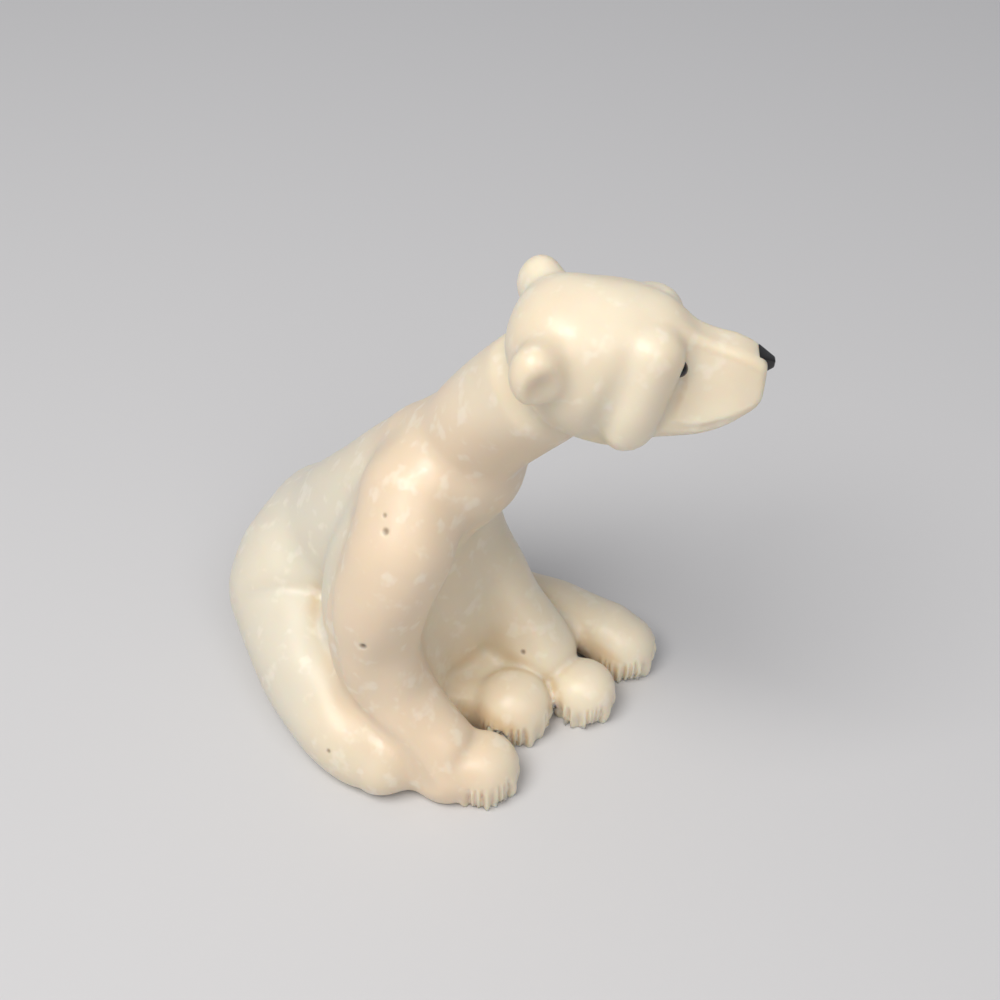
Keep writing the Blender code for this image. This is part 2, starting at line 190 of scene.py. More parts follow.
def groove(points, path, width):
    """How much a soft groove takes off, along a row of places, each with its own depth."""
    low, high = chain_box(path, 3 * width)
    inside = np.all((points > low) & (points < high), axis=1)
    taken = np.zeros(len(points))
    if inside.any():
        gap, depth = nearest_on(points[inside], curve_through(path))
        taken[inside] = depth * np.exp(-((gap / width) ** 2))
    return taken


print("a chain of four balls has", len(curve_through([((0, 0, n), 1.0) for n in range(4)])), "spans")

# %% [markdown]
# ## The pose
# The trunk leans forward from a broad rump to the withers. Both hind legs lie along the floor.
# The right arm comes down in front of the right leg, and its paw stands beside the others, so the
# four paws make a row. The flanks, the seat and the underside are filled in: a carver leaves stone
# between the limbs, and no daylight shows between them.

# %% Places and radii of the body
TRUNK = [((0, 12.0, 17.6), 14.6), ((0, 1.0, 31), 14.4), ((0, -10.0, 45.5), 12.6), ((0, -19, 56), 10.6)]
HIPS = [((-8.5, 13.5, 16.5), 13.0), ((0, 14.0, 18.0), 13.5), ((5.5, 13.5, 17.5), 12.5)]
BELLY = [((0, -6, 34), 11.0), ((0, -9, 12), 13.0)]
NECK = [
    ((0, -15.8, 53.6), 10.6),
    ((0.1, -20.5, 60.5), 9.4),
    ((0.2, -24.9, 67.5), 9.4),
    ((1.0, -34.3, 79.0), 9.4),
]
RIGHT_LEG = [
    ((-12, 13.6, 12.5), 12.0),
    ((-20.7, 0, 9), 10.6),
    ((-26.5, -14, 6.5), 8.7),
    ((-27, -22.5, 5.5), 6.6),
]
LEFT_LEG = [
    ((12, 13.6, 12.5), 12.9),
    ((16.5, 2, 5), 6.8),
    ((19.8, -11, 4.0), 5.3),
    ((21.3, -24, 5.0), 5.7),
    ((22, -36, 5.5), 6.0),
]
RIGHT_SHANK = [((-12, -16, 3), 5.5), ((-7, -22, 2.5), 4.8), ((-4, -28, 3.0), 4.8)]
SEAT = [((8, -14, 4), 7.0), ((4, -22, 2.5), 5.0), ((4, -28, 1.5), 4.2)]
UNDER = [((0, 14, 8), 15.0), ((-3, -4, 4), 13.0), ((0, -17, 2), 8.5), ((1, -26, 1), 6.0)]
RIGHT_FLANK = [((-9, -12, 46), 8.0), ((-11.5, -9, 32), 9.5), ((-12, -9, 18), 10.0), ((-13, -12, 8), 10.0)]
LEFT_FLANK = [((7, -8, 46), 8.0), ((7, -7, 32), 9.0), ((8, -9, 18), 9.5), ((9, -13, 8), 9.0)]
RIGHT_ARM = [
    ((-10, -17.5, 54.5), 9.0),
    ((-17, -19.5, 47.5), 8.8),
    ((-20.3, -17.5, 38), 8.5),
    ((-21.2, -16.5, 28), 8.0),
    ((-21.2, -19, 18), 7.6),
    ((-20.8, -25, 11), 7.3),
    ((-20.0, -31.8, 4.8), 7.3),
]
LEFT_ARM = [
    ((8, -13.5, 52), 8.8),
    ((9.8, -9.5, 40), 8.2),
    ((9.8, -10.5, 29), 7.8),
    ((9.6, -18, 18.5), 7.2),
    ((9.0, -30.5, 7.5), 6.4),
]
BODY = [TRUNK, HIPS, BELLY]
LEGS = [RIGHT_LEG, LEFT_LEG]
FILLS = [RIGHT_FLANK, LEFT_FLANK, UNDER, RIGHT_SHANK, SEAT]
ARMS = [RIGHT_ARM, LEFT_ARM]
# The groups in the order that they are joined, each with its fillet.
JOINED = ((BODY, 3.0), (LEGS, 2.5), (FILLS, 2.0), ([NECK], 4.0), (ARMS, 4.0))
PAW_FILLET = 1.2
HEAD_FILLET = 1.5
# Each crease is a row of places on the skin, with how deep it is cut there.
CREASES = [
    [
        ((-23.7, -14.9, 50.9), 0.0),
        ((-23.6, -10.7, 42.9), 0.7),
        ((-26.5, -11.6, 38.6), 0.9),
        ((-28.4, -14.0, 29.0), 0.9),
        ((-27.9, -15.5, 19.2), 0.9),
        ((-28.8, -20.9, 15.5), 0.9),
        ((-28.0, -27.2, 12.5), 0.8),
        ((-27.3, -32.4, 6.1), 0.6),
    ],
    [
        ((-22.4, 14.9, 19.1), 0.4),
        ((-21.6, 12.6, 20.9), 0.6),
        ((-19.0, 7.9, 22.9), 0.7),
        ((-15.8, 3.3, 22.3), 0.3),
    ],
    [
        ((-2.4, -29.8, 86.5), 0.5),
        ((-6.7, -33.6, 84.4), 0.9),
        ((-7.7, -37.2, 81.1), 0.9),
        ((-5.5, -41.5, 77), 0.2),
    ],
    [((-15.7, -34.8, 10.4), 0.5), ((-21.7, -36.1, 10.5), 0.7), ((-24.0, -36.4, 8.8), 0.4)],
]
CREASE_WIDTH = 1.7
# Small pits where a softer grain fell out: place, width and depth.
PITS = [
    ((-19.6, -19.3, 57.8), 0.35, 0.35),
    ((-21.1, -20.7, 56.2), 0.5, 0.5),
    ((-28.2, -20.8, 35.2), 0.5, 0.5),
    ((-34.4, -16.1, 9.7), 0.35, 0.3),
    ((3.4, -30.0, 12.2), 0.4, 0.35),
]
# Three slow waves, as the wave numbers along x, y and z, leave the skin a little uneven.
HAND_WAVES = np.array([(0.31, 0.17, 0.42), (-0.22, 0.47, 0.19), (0.55, -0.13, -0.29)])
HAND_DEPTH = 0.09
# The four paws in a row, from the bear's right: front, hind, front, hind.
PAWS = [
    ((-17.2, -36.5, 4.3), 6.8),
    ((-2.7, -32.5, 4.5), 7.1),
    ((8.2, -40.2, 4.5), 6.3),
    ((22.2, -39.8, 4.5), 6.3),
]
print("balls in the body:", sum(len(chain) for group in (BODY, LEGS, FILLS, ARMS) for chain in group))

# %% [markdown]
# ## The head
# The head is drawn on its own axes: ahead, left and up from the middle of the skull. It is turned
# and dipped as a whole. Skull, crown and jaw are ellipsoids, the muzzle is a short limb cut square
# at the snout, and a fold runs from each brow down to the jowl in front of a soft valley.

# %% Places on the head
HEAD_PLACE = np.array((2.0, -43.5, 88.0))
HEAD_TURN = 34.5
HEAD_DIP = 4.0
EAR_TURN = 28.0
HEAD_REACH = 34
SKULL = [
    ((-0.5, 0, 0.3), (11.3, 11.6, 11.4)),
    ((-5.0, 0, 3.0), (8.2, 9.6, 9.0)),
    ((4.5, 0, 3.6), (9.5, 8.6, 8.4)),
    ((2.5, 0, -5.0), (9.5, 9.0, 8.0)),
]
SKULL_FILLET = 3.0
# Stations of the muzzle: ahead, then the height, flat half-width and rounding of its bridge,
# and the same three of its lips.
MUZZLE = [
    (3.0, 9.0, 1.5, 2.0, -5.6, 3.8, 4.0),
    (8.0, 8.2, 1.5, 1.8, -5.6, 3.8, 4.0),
    (12.0, 6.9, 1.4, 1.5, -5.5, 3.7, 3.9),
    (16.5, 5.3, 1.5, 1.5, -4.8, 3.4, 3.6),
    (20.6, 4.1, 1.5, 1.5, -3.4, 2.9, 3.2),
    (24.7, 2.2, 1.3, 1.5, -1.4, 2.0, 2.5),
]
MUZZLE_FILLET = 2.0
SNOUT_END = 25.0
SNOUT_ROUNDING = 1.4
CHEEK_FOLD = [
    ((7.5, 4.7, 5.2), 5.0),
    ((6.6, 5.8, 1.5), 5.0),
    ((5.8, 6.4, -2.2), 5.0),
    ((5.2, 6.2, -5.4), 4.9),
]
FOLD_FILLET = 0.7
# A valley is a row of places, each with how deep it is there.
CHEEK_VALLEY = [
    ((4.6, 6.0, 9.8), 0.0),
    ((3.6, 9.4, 5.7), 0.4),
    ((1.6, 10.8, -1.9), 0.9),
    ((0.8, 8.0, -9.0), 1.1),
]
VALLEY_WIDTH = 1.9
LID_CREASE = [
    ((12.3, 4.4, 5.4), 0.3),
    ((12.5, 5.0, 2.6), 0.5),
    ((12.6, 5.6, -0.4), 0.6),
    ((11.8, 7.0, -3.8), 0.2),
]
LID_WIDTH = 0.7
MOUTH = [
    ((10.6, 7.9, -4.6), 0.2),
    ((13.0, 7.6, -5.5), 0.8),
    ((16.4, 7.0, -5.7), 0.7),
    ((19.6, 6.2, -4.7), 0.35),
    ((22.2, 5.2, -3.6), 0.0),
]
MOUTH_WIDTH = 0.55
EAR = (-8.6, 10.9, 4.4)
EAR_RADII = (3.6, 4.0, 4.8)
EAR_CUP = (-6.6, 15.0, 3.4)
EAR_CUP_RADII = (2.6, 2.4, 3.2)
EAR_CUP_ROUNDING = 2.4
EAR_FILLET = 3.2


def turned_axes(turn, dip=0.0):
    """Rows are ahead, left and up, for something that faces -Y, then turns left and dips."""
    t, d = math.radians(turn), math.radians(dip)
    ahead = np.array([math.sin(t) * math.cos(d), -math.cos(t) * math.cos(d), -math.sin(d)])
    left = np.array([math.cos(t), math.sin(t), 0.0])
    return np.array([ahead, left, np.cross(ahead, left)])


HEAD_AXES = turned_axes(HEAD_TURN, HEAD_DIP)


def sided(place, side):
    """A place of the head's left side, on the side asked for."""
    return (place[0], place[1] * side, place[2])


print("the head looks", HEAD_TURN, "degrees to the bear's left")

# %% [markdown]
# ## The forms of the head
# On the stone the muzzle has a narrow bridge, flat sides and fuller lips, so it is described at a
# few stations from brow to nose, each with a bridge and a lip, and rounded between them. The ears
# are low and round with a thumbed hollow. The mouth and the lid are thin cuts, as made by a knife.

# %% Head forms
def profile(at, stations):
    """Smooth values along a line, through a few stations."""
    table = np.array(stations, float)
    x, y = table[:, 0], table[:, 1:]
    slope = np.gradient(y, x, axis=0)
    at = np.clip(at, x[0], x[-1])
    span = np.clip(np.searchsorted(x, at) - 1, 0, len(x) - 2)
    width = (x[span + 1] - x[span])[:, None]
    t = (at - x[span])[:, None] / width
    start = (1 + 2 * t) * (1 - t) ** 2 * y[span] + t * (1 - t) ** 2 * width * slope[span]
    end = t**2 * (3 - 2 * t) * y[span + 1] + t**2 * (t - 1) * width * slope[span + 1]
    return (start + end).T


def muzzle(own):
    """A bridge and a wider pair of lips at each step ahead, with flat sides between them."""
    top, top_half, top_round, low, low_half, low_round = profile(own[:, 0], MUZZLE)
    down = np.clip((top - own[:, 2]) / (top - low), 0, 1)
    half = top_half + down * (low_half - top_half)
    rounding = top_round + down * (low_round - top_round)
    above = np.maximum(own[:, 2] - top, low - own[:, 2])
    beyond = np.array([np.abs(own[:, 1]) - half, above, MUZZLE[0][0] - own[:, 0]])
    return np.linalg.norm(np.maximum(beyond, 0), axis=0) + np.minimum(beyond.max(axis=0), 0) - rounding


def ear(own, side):
    """A round ear with a shallow hollow that faces ahead and out."""
    turn = math.radians(EAR_TURN * side)
    axes = np.array([[math.cos(turn), math.sin(turn), 0], [-math.sin(turn), math.cos(turn), 0], [0, 0, 1]])
    shell = lump((own - sided(EAR, side)) @ axes.T, (0, 0, 0), EAR_RADII)
    hollow = lump((own - sided(EAR_CUP, side)) @ axes.T, (0, 0, 0), EAR_CUP_RADII)
    return carve(shell, hollow, EAR_CUP_ROUNDING)


def head_distance(points):
    """Skull, crown, jaw, muzzle, cheek folds, mouth and ears."""
    own = (points - HEAD_PLACE) @ HEAD_AXES.T
    whole = lump(own, *SKULL[0])
    for centre, radii in SKULL[1:]:
        whole = blend(whole, lump(own, centre, radii), SKULL_FILLET)
    whole = blend(whole, muzzle(own), MUZZLE_FILLET)
    whole = carve(whole, SNOUT_END - own[:, 0], SNOUT_ROUNDING)
    for side in (-1, 1):
        fold = [(sided(place, side), size) for place, size in CHEEK_FOLD]
        whole = blend(whole, limb(own, fold), FOLD_FILLET)
        valley = [(sided(place, side), deep) for place, deep in CHEEK_VALLEY]
        whole = whole + groove(own, valley, VALLEY_WIDTH)
        for path, width in ((LID_CREASE, LID_WIDTH), (MOUTH, MOUTH_WIDTH)):
            whole = whole + groove(own, [(sided(place, side), deep) for place, deep in path], width)
        whole = blend(whole, ear(own, side), EAR_FILLET)
    return whole


def head(points):
    return near_only(head_distance, points, HEAD_PLACE - HEAD_REACH, HEAD_PLACE + HEAD_REACH, 5.0)


print("the snout is cut square", SNOUT_END, "units ahead of the middle of the skull")

# %% [markdown]
# ## Paws and claws
# Each paw is a ball, a little flattened, whose front edge spreads into a fringe of short pointed
# claws where it meets the floor. The fringe is a wave around the ball that is sharp at the floor
# and fades out upwards, where it leaves only soft grooves between the toes. Two slow waves make
# the claws uneven, as a small file does. One formula makes every claw.

# %% Paw form
PAW_CROWN = 0.92
PAW_FOOT = 1.5
CLAWS_IN_TURN = 21
CLAW_LENGTH = 1.9
CLAW_TOP = 6.2
TOES_IN_TURN = 10.5
TOE_DEPTH = 0.3
TOE_TOP = 7.5
UNEVEN = 0.22
PAW_TURN = 0.15


def paw_distance(points, place, size):
    offset = points - np.asarray(place)
    around = np.arctan2(offset[:, 0], -offset[:, 1])
    wander = around + UNEVEN * np.sin(3 * around + place[0]) + UNEVEN / 2 * np.sin(7 * around + place[1])
    tooth = 1 - np.abs((wander * CLAWS_IN_TURN / (2 * math.pi)) % 1 * 2 - 1)
    toe = np.abs(np.cos(wander * TOES_IN_TURN / 2))
    longer = 1 + 0.45 * np.sin(5 * around + place[1])
    low = np.clip(1.5 * (1 - points[:, 2] / CLAW_TOP), 0, 1)
    lower_half = np.clip(1 - points[:, 2] / TOE_TOP, 0, 1)
    front = np.clip((np.cos(around - PAW_TURN) + 0.55) * 2, 0, 1)
    height = np.where(offset[:, 2] > 0, offset[:, 2] / PAW_CROWN, offset[:, 2] / PAW_FOOT)
    ball = np.linalg.norm(np.column_stack([offset[:, :2], height]), axis=1) - size
    claws = CLAW_LENGTH * (tooth - 0.62) * low * longer
    return ball - front * (claws + TOE_DEPTH * (toe - 0.6) * lower_half)


def paw(points, place, size):
    spread = size + 5
    low, high = np.asarray(place) - spread, np.asarray(place) + spread
    return near_only(lambda close: paw_distance(close, place, size), points, low, high, 3.0)


print("claws in a full turn of a paw:", CLAWS_IN_TURN)

# %% [markdown]
# ## The whole carving
# The parts are joined in the order in which they lie on each other, and the creases and pits are
# cut last, as on the real stone. The slow waves are what a rasp and wet paper leave of a plane.

# %% The whole carving
def carving(points):
    """Distance to the whole bear, before its underside is sawn flat."""
    body = np.full(len(points), FAR)
    for chains, fillet in JOINED:
        for chain in chains:
            body = blend(body, limb(points, chain), fillet)
    for place, size in PAWS:
        body = blend(body, paw(points, place, size), PAW_FILLET)
    body = blend(body, head(points), HEAD_FILLET)
    body = body + HAND_DEPTH * np.sin(points @ HAND_WAVES.T + np.arange(3)).sum(axis=1)
    for place, width, deep in PITS:
        away = ((points - place) ** 2).sum(axis=1)
        body = body + deep * np.exp(-away / width**2)
    for path in CREASES:
        body = body + groove(points, path, CREASE_WIDTH)
    return body


in_trunk = float(carving(np.array([[0.0, 0.0, 30.0]]))[0])
print("the middle of the trunk lies", -round(in_trunk, 1), "units deep")

# %% [markdown]
# ## From distances to a mesh
# Blender needs a mesh, and the points of a rough one can be drawn on to the carving. Each point is
# moved along the slope of the distance until it lies on the skin. Four readings around a point, at
# the corners of a tetrahedron, give both the distance and its slope, which is cheaper than six.

# %% Settling points on the carving
CORNERS = np.array([(1, 1, 1), (1, -1, -1), (-1, 1, -1), (-1, -1, 1)], float)


def settle(points, rounds, reach=0.12, most=1.5):
    """Draw points on to the carved surface along its slope."""
    for _ in range(rounds):
        reading = np.array([carving(points + reach * corner) for corner in CORNERS])
        slope = reading.T @ CORNERS / (4 * reach)
        far = reading.mean(axis=0)
        move = -(far / np.maximum((slope**2).sum(axis=1), 0.05))[:, None] * slope
        length = np.linalg.norm(move, axis=1, keepdims=True)
        points = points + move * np.minimum(1, most / np.maximum(length, 1e-9))
    return points


def mesh_points(mesh):
    flat = np.empty(len(mesh.vertices) * 3)
    mesh.vertices.foreach_get("co", flat)
    return flat.reshape(-1, 3)


def set_points(mesh, points):
    mesh.vertices.foreach_set("co", np.ascontiguousarray(points, dtype=float).ravel())
    mesh.update()


print("readings for each point and round:", len(CORNERS))

# %% [markdown]
# ## The rough blank
# The blank is massed the way a sculptor masses clay, from balls along every limb. They only have
# to lie near the skin everywhere, because settling does the rest.

# %% The rough blank
def chain_balls(chain, spacing=0.4):
    """Balls close enough along a chain to cover it."""
    balls = []
    for power in curve_through(chain):
        length = np.linalg.norm(power[1:, :3].sum(axis=0))
        count = max(2, int(length / (spacing * power[0][3])) + 1)
        for share in np.linspace(0, 1, count):
            ball = share ** np.arange(4) @ power
            balls.append((ball[:3], ball[3]))
    return balls


def blank_balls():
    balls = [ball for chains, _ in JOINED for chain in chains for ball in chain_balls(chain)]
    balls += [(np.array(place), size) for place, size in PAWS]
    on_head = [((-0.5, 0, 0.3), 11.2), ((4.5, 0, 3.6), 8.4), ((2.5, 0, -5.0), 8.5)]
    on_head += [((x, 0, (top + low) / 2), (top - low) / 2) for x, top, _, _, low, *_ in MUZZLE]
    on_head += [(sided(p, s), r) for s in (-1, 1) for p, r in ((EAR, 3.6), *CHEEK_FOLD)]
    balls += [(np.asarray(place) @ HEAD_AXES + HEAD_PLACE, size) for place, size in on_head]
    return balls


def new_object(name, bm):
    mesh = bpy.data.meshes.new(name)
    bm.to_mesh(mesh)
    bm.free()
    made = bpy.data.objects.new(name, mesh)
    bpy.context.scene.collection.objects.link(made)
    return made


def work_in(thing):
    """Replace an object's mesh by its mesh with the modifiers worked in."""
    bpy.context.view_layer.update()
    seen = thing.evaluated_get(bpy.context.evaluated_depsgraph_get())
    mesh = bpy.data.meshes.new_from_object(seen)
    thing.modifiers.clear()
    thing.data = mesh


print("balls in the blank:", len(blank_balls()))

# %% [markdown]
# ## The blank, fused and settled
# The balls are fused by a voxel remesh and settled, then remeshed once more, so that the points
# are spread evenly over the carving. The body is smooth, so it can do with points two thirds of
# a millimetre apart. The head and the paws carry small carving, so their faces are divided.

# %% Carve the block
def remesh(thing, voxel):
    modifier = thing.modifiers.new("remesh", "REMESH")
    modifier.mode = "VOXEL"
    modifier.voxel_size = voxel
    work_in(thing)


def divide_near(thing, spots):
    """Split the faces near some spots into four, where a spot is a place and a reach."""
    bm = bmesh.new()
    bm.from_mesh(thing.data)
    middles = np.array([face.calc_center_median() for face in bm.faces])
    near = np.zeros(len(middles), bool)
    for place, reach in spots:
        near |= np.linalg.norm(middles - np.asarray(place), axis=1) < reach
    bm.faces.ensure_lookup_table()
    edges = {edge for number in np.flatnonzero(near) for edge in bm.faces[number].edges}
    bmesh.ops.subdivide_edges(bm, edges=list(edges), cuts=1, use_grid_fill=True)
    bm.to_mesh(thing.data)
    bm.free()


def on_head(place, side=1):
    """A place given on the head, in the bear's own units."""
    return np.asarray(sided(place, side), float) @ HEAD_AXES + HEAD_PLACE


BLANK_VOXEL = 0.9
BODY_VOXEL = 0.8
PAW_SPOTS = [((x, y, 0), size + 4.0) for (x, y, z), size in PAWS]
CLAW_SPOTS = [((x, y, 0), size + 2.5) for (x, y, z), size in PAWS]
PIT_SPOTS = [(place, 4 * width) for place, width, _ in PITS]
MOUTH_SPOTS = [(on_head(place, side), 2.4) for side in (-1, 1) for place, _ in (*MOUTH, *LID_CREASE)]
FACE_SPOTS = [(on_head((14, 0, -1)), 13.0), *((on_head(EAR, side), 7.0) for side in (-1, 1))]

bm = bmesh.new()
for place, size in blank_balls():
    bmesh.ops.create_icosphere(bm, subdivisions=3, radius=size, matrix=Matrix.Translation(place))
stone = new_object("carved_bear", bm)
remesh(stone, BLANK_VOXEL)
set_points(stone.data, settle(mesh_points(stone.data), 3))
remesh(stone, BODY_VOXEL)
set_points(stone.data, settle(mesh_points(stone.data), 2))
divide_near(stone, PAW_SPOTS + FACE_SPOTS + PIT_SPOTS)
divide_near(stone, CLAW_SPOTS + MOUTH_SPOTS + PIT_SPOTS)
set_points(stone.data, settle(mesh_points(stone.data), 2))
print("carved:", len(stone.data.vertices), "points")

# %% [markdown]
# ## Into real size
# The bear's own units become metres, and the carving is moved so that it fills the box of the
# solid bear. The same move takes every other place of this lesson to the frame.

# %% From the bear's units to the frame
own_points = mesh_points(stone.data)
UNIT = (BEAR_BOX[1][2] - BEAR_BOX[0][2]) / own_points[:, 2].max()
own_middle = (own_points.min(axis=0) + own_points.max(axis=0)) / 2
SHIFT = np.array([
    (BEAR_BOX[0][0] + BEAR_BOX[1][0]) / 2 - own_middle[0] * UNIT,
    (BEAR_BOX[0][1] + BEAR_BOX[1][1]) / 2 - own_middle[1] * UNIT,
    BEAR_BOX[0][2],
])


def to_frame(place):
    return Vector(np.asarray(place, float) * UNIT + SHIFT)


set_points(stone.data, own_points * UNIT + SHIFT)
print("one unit is", round(UNIT * 1000, 3), "mm, shift", (SHIFT * 1000).round(2), "mm")


# %% [markdown]
# ## The underside
# A carver rubs the base flat on a board, so that the bear stands by its own weight. Here a level
# cut takes off what hangs below the floor, and the open outline is closed with flat triangles.

# %% Saw off the underside
def saw_flat(thing, height):
    """Take off everything below a height, and close the cut."""
    bm = bmesh.new()
    bm.from_mesh(thing.data)
    everything = [*bm.verts, *bm.edges, *bm.faces]
    plane = {"plane_co": (0, 0, height), "plane_no": (0, 0, 1)}
    bmesh.ops.bisect_plane(bm, geom=everything, clear_inner=True, **plane)
    rim = [edge for edge in bm.edges if edge.is_boundary]
    bmesh.ops.triangle_fill(bm, edges=rim, use_beauty=True, normal=(0, 0, -1))
    open_edges = sum(not edge.is_manifold for edge in bm.edges)
    bm.to_mesh(thing.data)
    bm.free()
    return open_edges


print("sawn, with", saw_flat(stone, BEAR_BOX[0][2]), "open edges")

# %% [markdown]
# ## Where the stone takes its tints, and where shade is painted
# Waxy stone looks deeper and browner in a crease, where light is caught, and here that is painted on as
# shade.
# The same distance that shaped the bear tells how closed in a point is: a little way out from the
# skin, open stone lies as far away as the step taken, and in a crease other stone is nearer. The
# stone is made warmer on the neck and right arm and greyer low behind the arms. Each tint is kept on the
# points.

# %% Tints on the points
TINT_STEP = 4.5
settled = (mesh_points(stone.data) - SHIFT) / UNIT
outward = np.empty(len(settled) * 3)
stone.data.vertices.foreach_get("normal", outward)
outward = outward.reshape(-1, 3)


def keep_tint(name, values):
    layer = stone.data.attributes.new(name, "FLOAT", "POINT")
    layer.data.foreach_set("value", np.clip(values, 0, 1).astype(np.float32))
    print(name, "from", round(float(values.min()), 2), "to", round(float(values.max()), 2))


def nearness(chain, spread):
    """One on a limb's skin, fading to nought away from it."""
    return np.exp(-((np.maximum(limb(settled, chain), 0) / spread) ** 2))


# Painted shade: how closed in each point is, kept to darken the creases.
keep_tint("closed_in", 1 - carving(settled + TINT_STEP * outward) / TINT_STEP)
warm = np.maximum(nearness(NECK, 3.0), nearness(RIGHT_ARM, 3.0))
on_head_height = np.clip((settled[:, 2] - 72) / 8, 0, 1)
keep_tint("warm", warm * (1 - on_head_height))
behind_arm = np.clip((settled[:, 1] + 16) / 12, 0, 1)
low_down = np.clip((58 - settled[:, 2]) / 20, 0, 1)
keep_tint("cool", behind_arm * low_down * (1 - 0.6 * warm))
nearest_pit = np.min([np.linalg.norm(settled - place, axis=1) / width for place, width, _ in PITS], axis=0)
keep_tint("pitted", 1.25 - 0.8 * nearest_pit)


# %% [markdown]
# ## Nose and eyes
# The nose is a blunt black pyramid let into the end of the snout, and the eyes are small beads
# sunk in the front of the brow folds. The eyes take their places from the solids that they dress, the nose
# from a given place on the snout.

# %% Nose and eye forms
NOSE_PLACE = (24.6, 0, 2.5)
NOSE_WIDTH = 0.0034
NOSE_HEIGHT = 0.0030
NOSE_TIP = 0.0011
NOSE_PROUD = 0.0014
NOSE_SEAT = 0.0009
EYE_DIAMETER = 0.0022


def nose_form():
    bm = bmesh.new()
    half_diagonal = math.sqrt(2) / 2
    bmesh.ops.create_cone(
        bm,
        cap_ends=True,
        segments=4,
        radius1=half_diagonal * NOSE_WIDTH,
        radius2=half_diagonal * NOSE_TIP,
        depth=NOSE_PROUD + NOSE_SEAT,
    )
    bmesh.ops.rotate(bm, verts=bm.verts, matrix=Matrix.Rotation(math.radians(45), 3, "Z"))
    ahead = Vector(HEAD_AXES[0]).to_track_quat("Z", "Y").to_matrix().to_4x4()
    squash = Matrix.Diagonal((NOSE_HEIGHT / NOSE_WIDTH, 1, 1, 1))
    middle = Matrix.Translation((0, 0, (NOSE_PROUD - NOSE_SEAT) / 2))
    place = Matrix.Translation(to_frame(on_head(NOSE_PLACE))) @ ahead @ middle @ squash
    bmesh.ops.transform(bm, matrix=place, verts=bm.verts)
    return bm


def eye_form(node):
    """A smooth bead in the place of the solid eye."""
    low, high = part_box(node)
    middle = Matrix.Translation([(a + b) / 2 for a, b in zip(low, high)])
    bm = bmesh.new()
    bmesh.ops.create_uvsphere(bm, u_segments=32, v_segments=20, radius=EYE_DIAMETER / 2, matrix=middle)
    return bm


print("the nose stands", NOSE_PROUD * 1000, "mm proud, the beads are", EYE_DIAMETER * 1000, "mm wide")

# %% [markdown]
# ## The four pieces
# Each piece is tied to the solid that it dresses and to the one body of the bear. The nose gets a
# fine rounding along its edges, as polishing leaves on so hard a stone.

# %% The four pieces
stone.data.shade_smooth()
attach(stone, "root")
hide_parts("bear")

nose = new_object("set_in_nose", nose_form())
rounded = nose.modifiers.new("rounded", "BEVEL")
rounded.width = 0.00025
rounded.segments = 3
work_in(nose)
nose.data.shade_smooth()
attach(nose, "root")
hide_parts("nose")
beads = []
for node in ("right_eye", "left_eye"):
    bead = new_object(node + "_bead", eye_form(node))
    bead.data.shade_smooth()
    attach(bead, "root")
    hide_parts(node)
    beads.append(bead)
print("stone triangles:", sum(len(p.vertices) - 2 for p in stone.data.polygons))

# %% [markdown]
# ## Writing a finish as arithmetic
# A finish is a small network of nodes. Dragging wires by hand is slow to read back, so one class
# stands for a wire: adding or multiplying two wires lays a Math node between them.

# %% A wire that can be reckoned with
class Wire:
    """An output of a node, which Python's operators turn into further Math nodes."""

    def __init__(self, tree, socket=None):
        self.tree = tree
        self.socket = socket

    def node(self, kind, settings=None, inputs=None, output=0):
        """Lay a node, set it up, feed it, and hand back one of its outputs."""
        made = self.tree.nodes.new(kind)
        for name, value in (settings or {}).items():
            if name == "stops":
                for stop, (position, colour) in zip(made.color_ramp.elements, value):
                    stop.position, stop.color = position, colour
            else:
                setattr(made, name, value)
        for key, value in (inputs or {}).items():
            if isinstance(value, Wire):
                self.tree.links.new(value.socket, made.inputs[key])
            else:
                made.inputs[key].default_value = value
        return Wire(self.tree, made.outputs[output])

    def math(self, operation, *values):
        return self.node("ShaderNodeMath", {"operation": operation}, dict(enumerate(values)))

    def __add__(self, other):
        return self.math("ADD", self, other)

    def __sub__(self, other):
        return self.math("SUBTRACT", self, other)

    def __rsub__(self, other):
        return self.math("SUBTRACT", other, self)

    def __mul__(self, other):
        return self.math("MULTIPLY", self, other)

    __radd__ = __add__
    __rmul__ = __mul__

    def ramp(self, low, high):
        """Nought below one value, one above another, smooth between."""
        settings = {"interpolation_type": "SMOOTHSTEP"}
        return self.node("ShaderNodeMapRange", settings, {0: self, 1: low, 2: high, 3: 0.0, 4: 1.0})

    def mix(self, low, high):
        """A colour from one to another, as this wire goes from nought to one."""
        return self.node("ShaderNodeMix", {"data_type": "RGBA"}, {0: self, 6: low, 7: high}, 2)


def finish_named(name):
    """A new material with its main shader, and a wire to start laying nodes from."""
    made = bpy.data.materials.new(name)
    made.use_nodes = True
    shader = made.node_tree.nodes["Principled BSDF"]
    return made, shader, Wire(made.node_tree)


def feed(shader, **values):
    """Set or link the main shader's sockets, named with _ for a space."""
    for name, value in values.items():
        socket = shader.inputs[name.replace("_", " ")]
        if isinstance(value, Wire):
            value.tree.links.new(value.socket, socket)
        else:
            socket.default_value = value


# %% [markdown]
# ## Cream stone
# The stone is a waxy cream. Light goes a few millimetres in and comes out again, which softens
# every edge, so the shader scatters light below the surface.

# %% Cream stone
def noise(start, scale, detail=2.0, roughness=0.5, output=0, vector=None):
    inputs = {"Scale": scale, "Detail": detail, "Roughness": roughness}
    inputs["Vector"] = vector or start.node("ShaderNodeTexCoord", output=3)
    return start.node("ShaderNodeTexNoise", {}, inputs, output)


def tint(start, name):
    """A value kept on the points."""
    return start.node("ShaderNodeAttribute", {"attribute_name": name}, output=2)


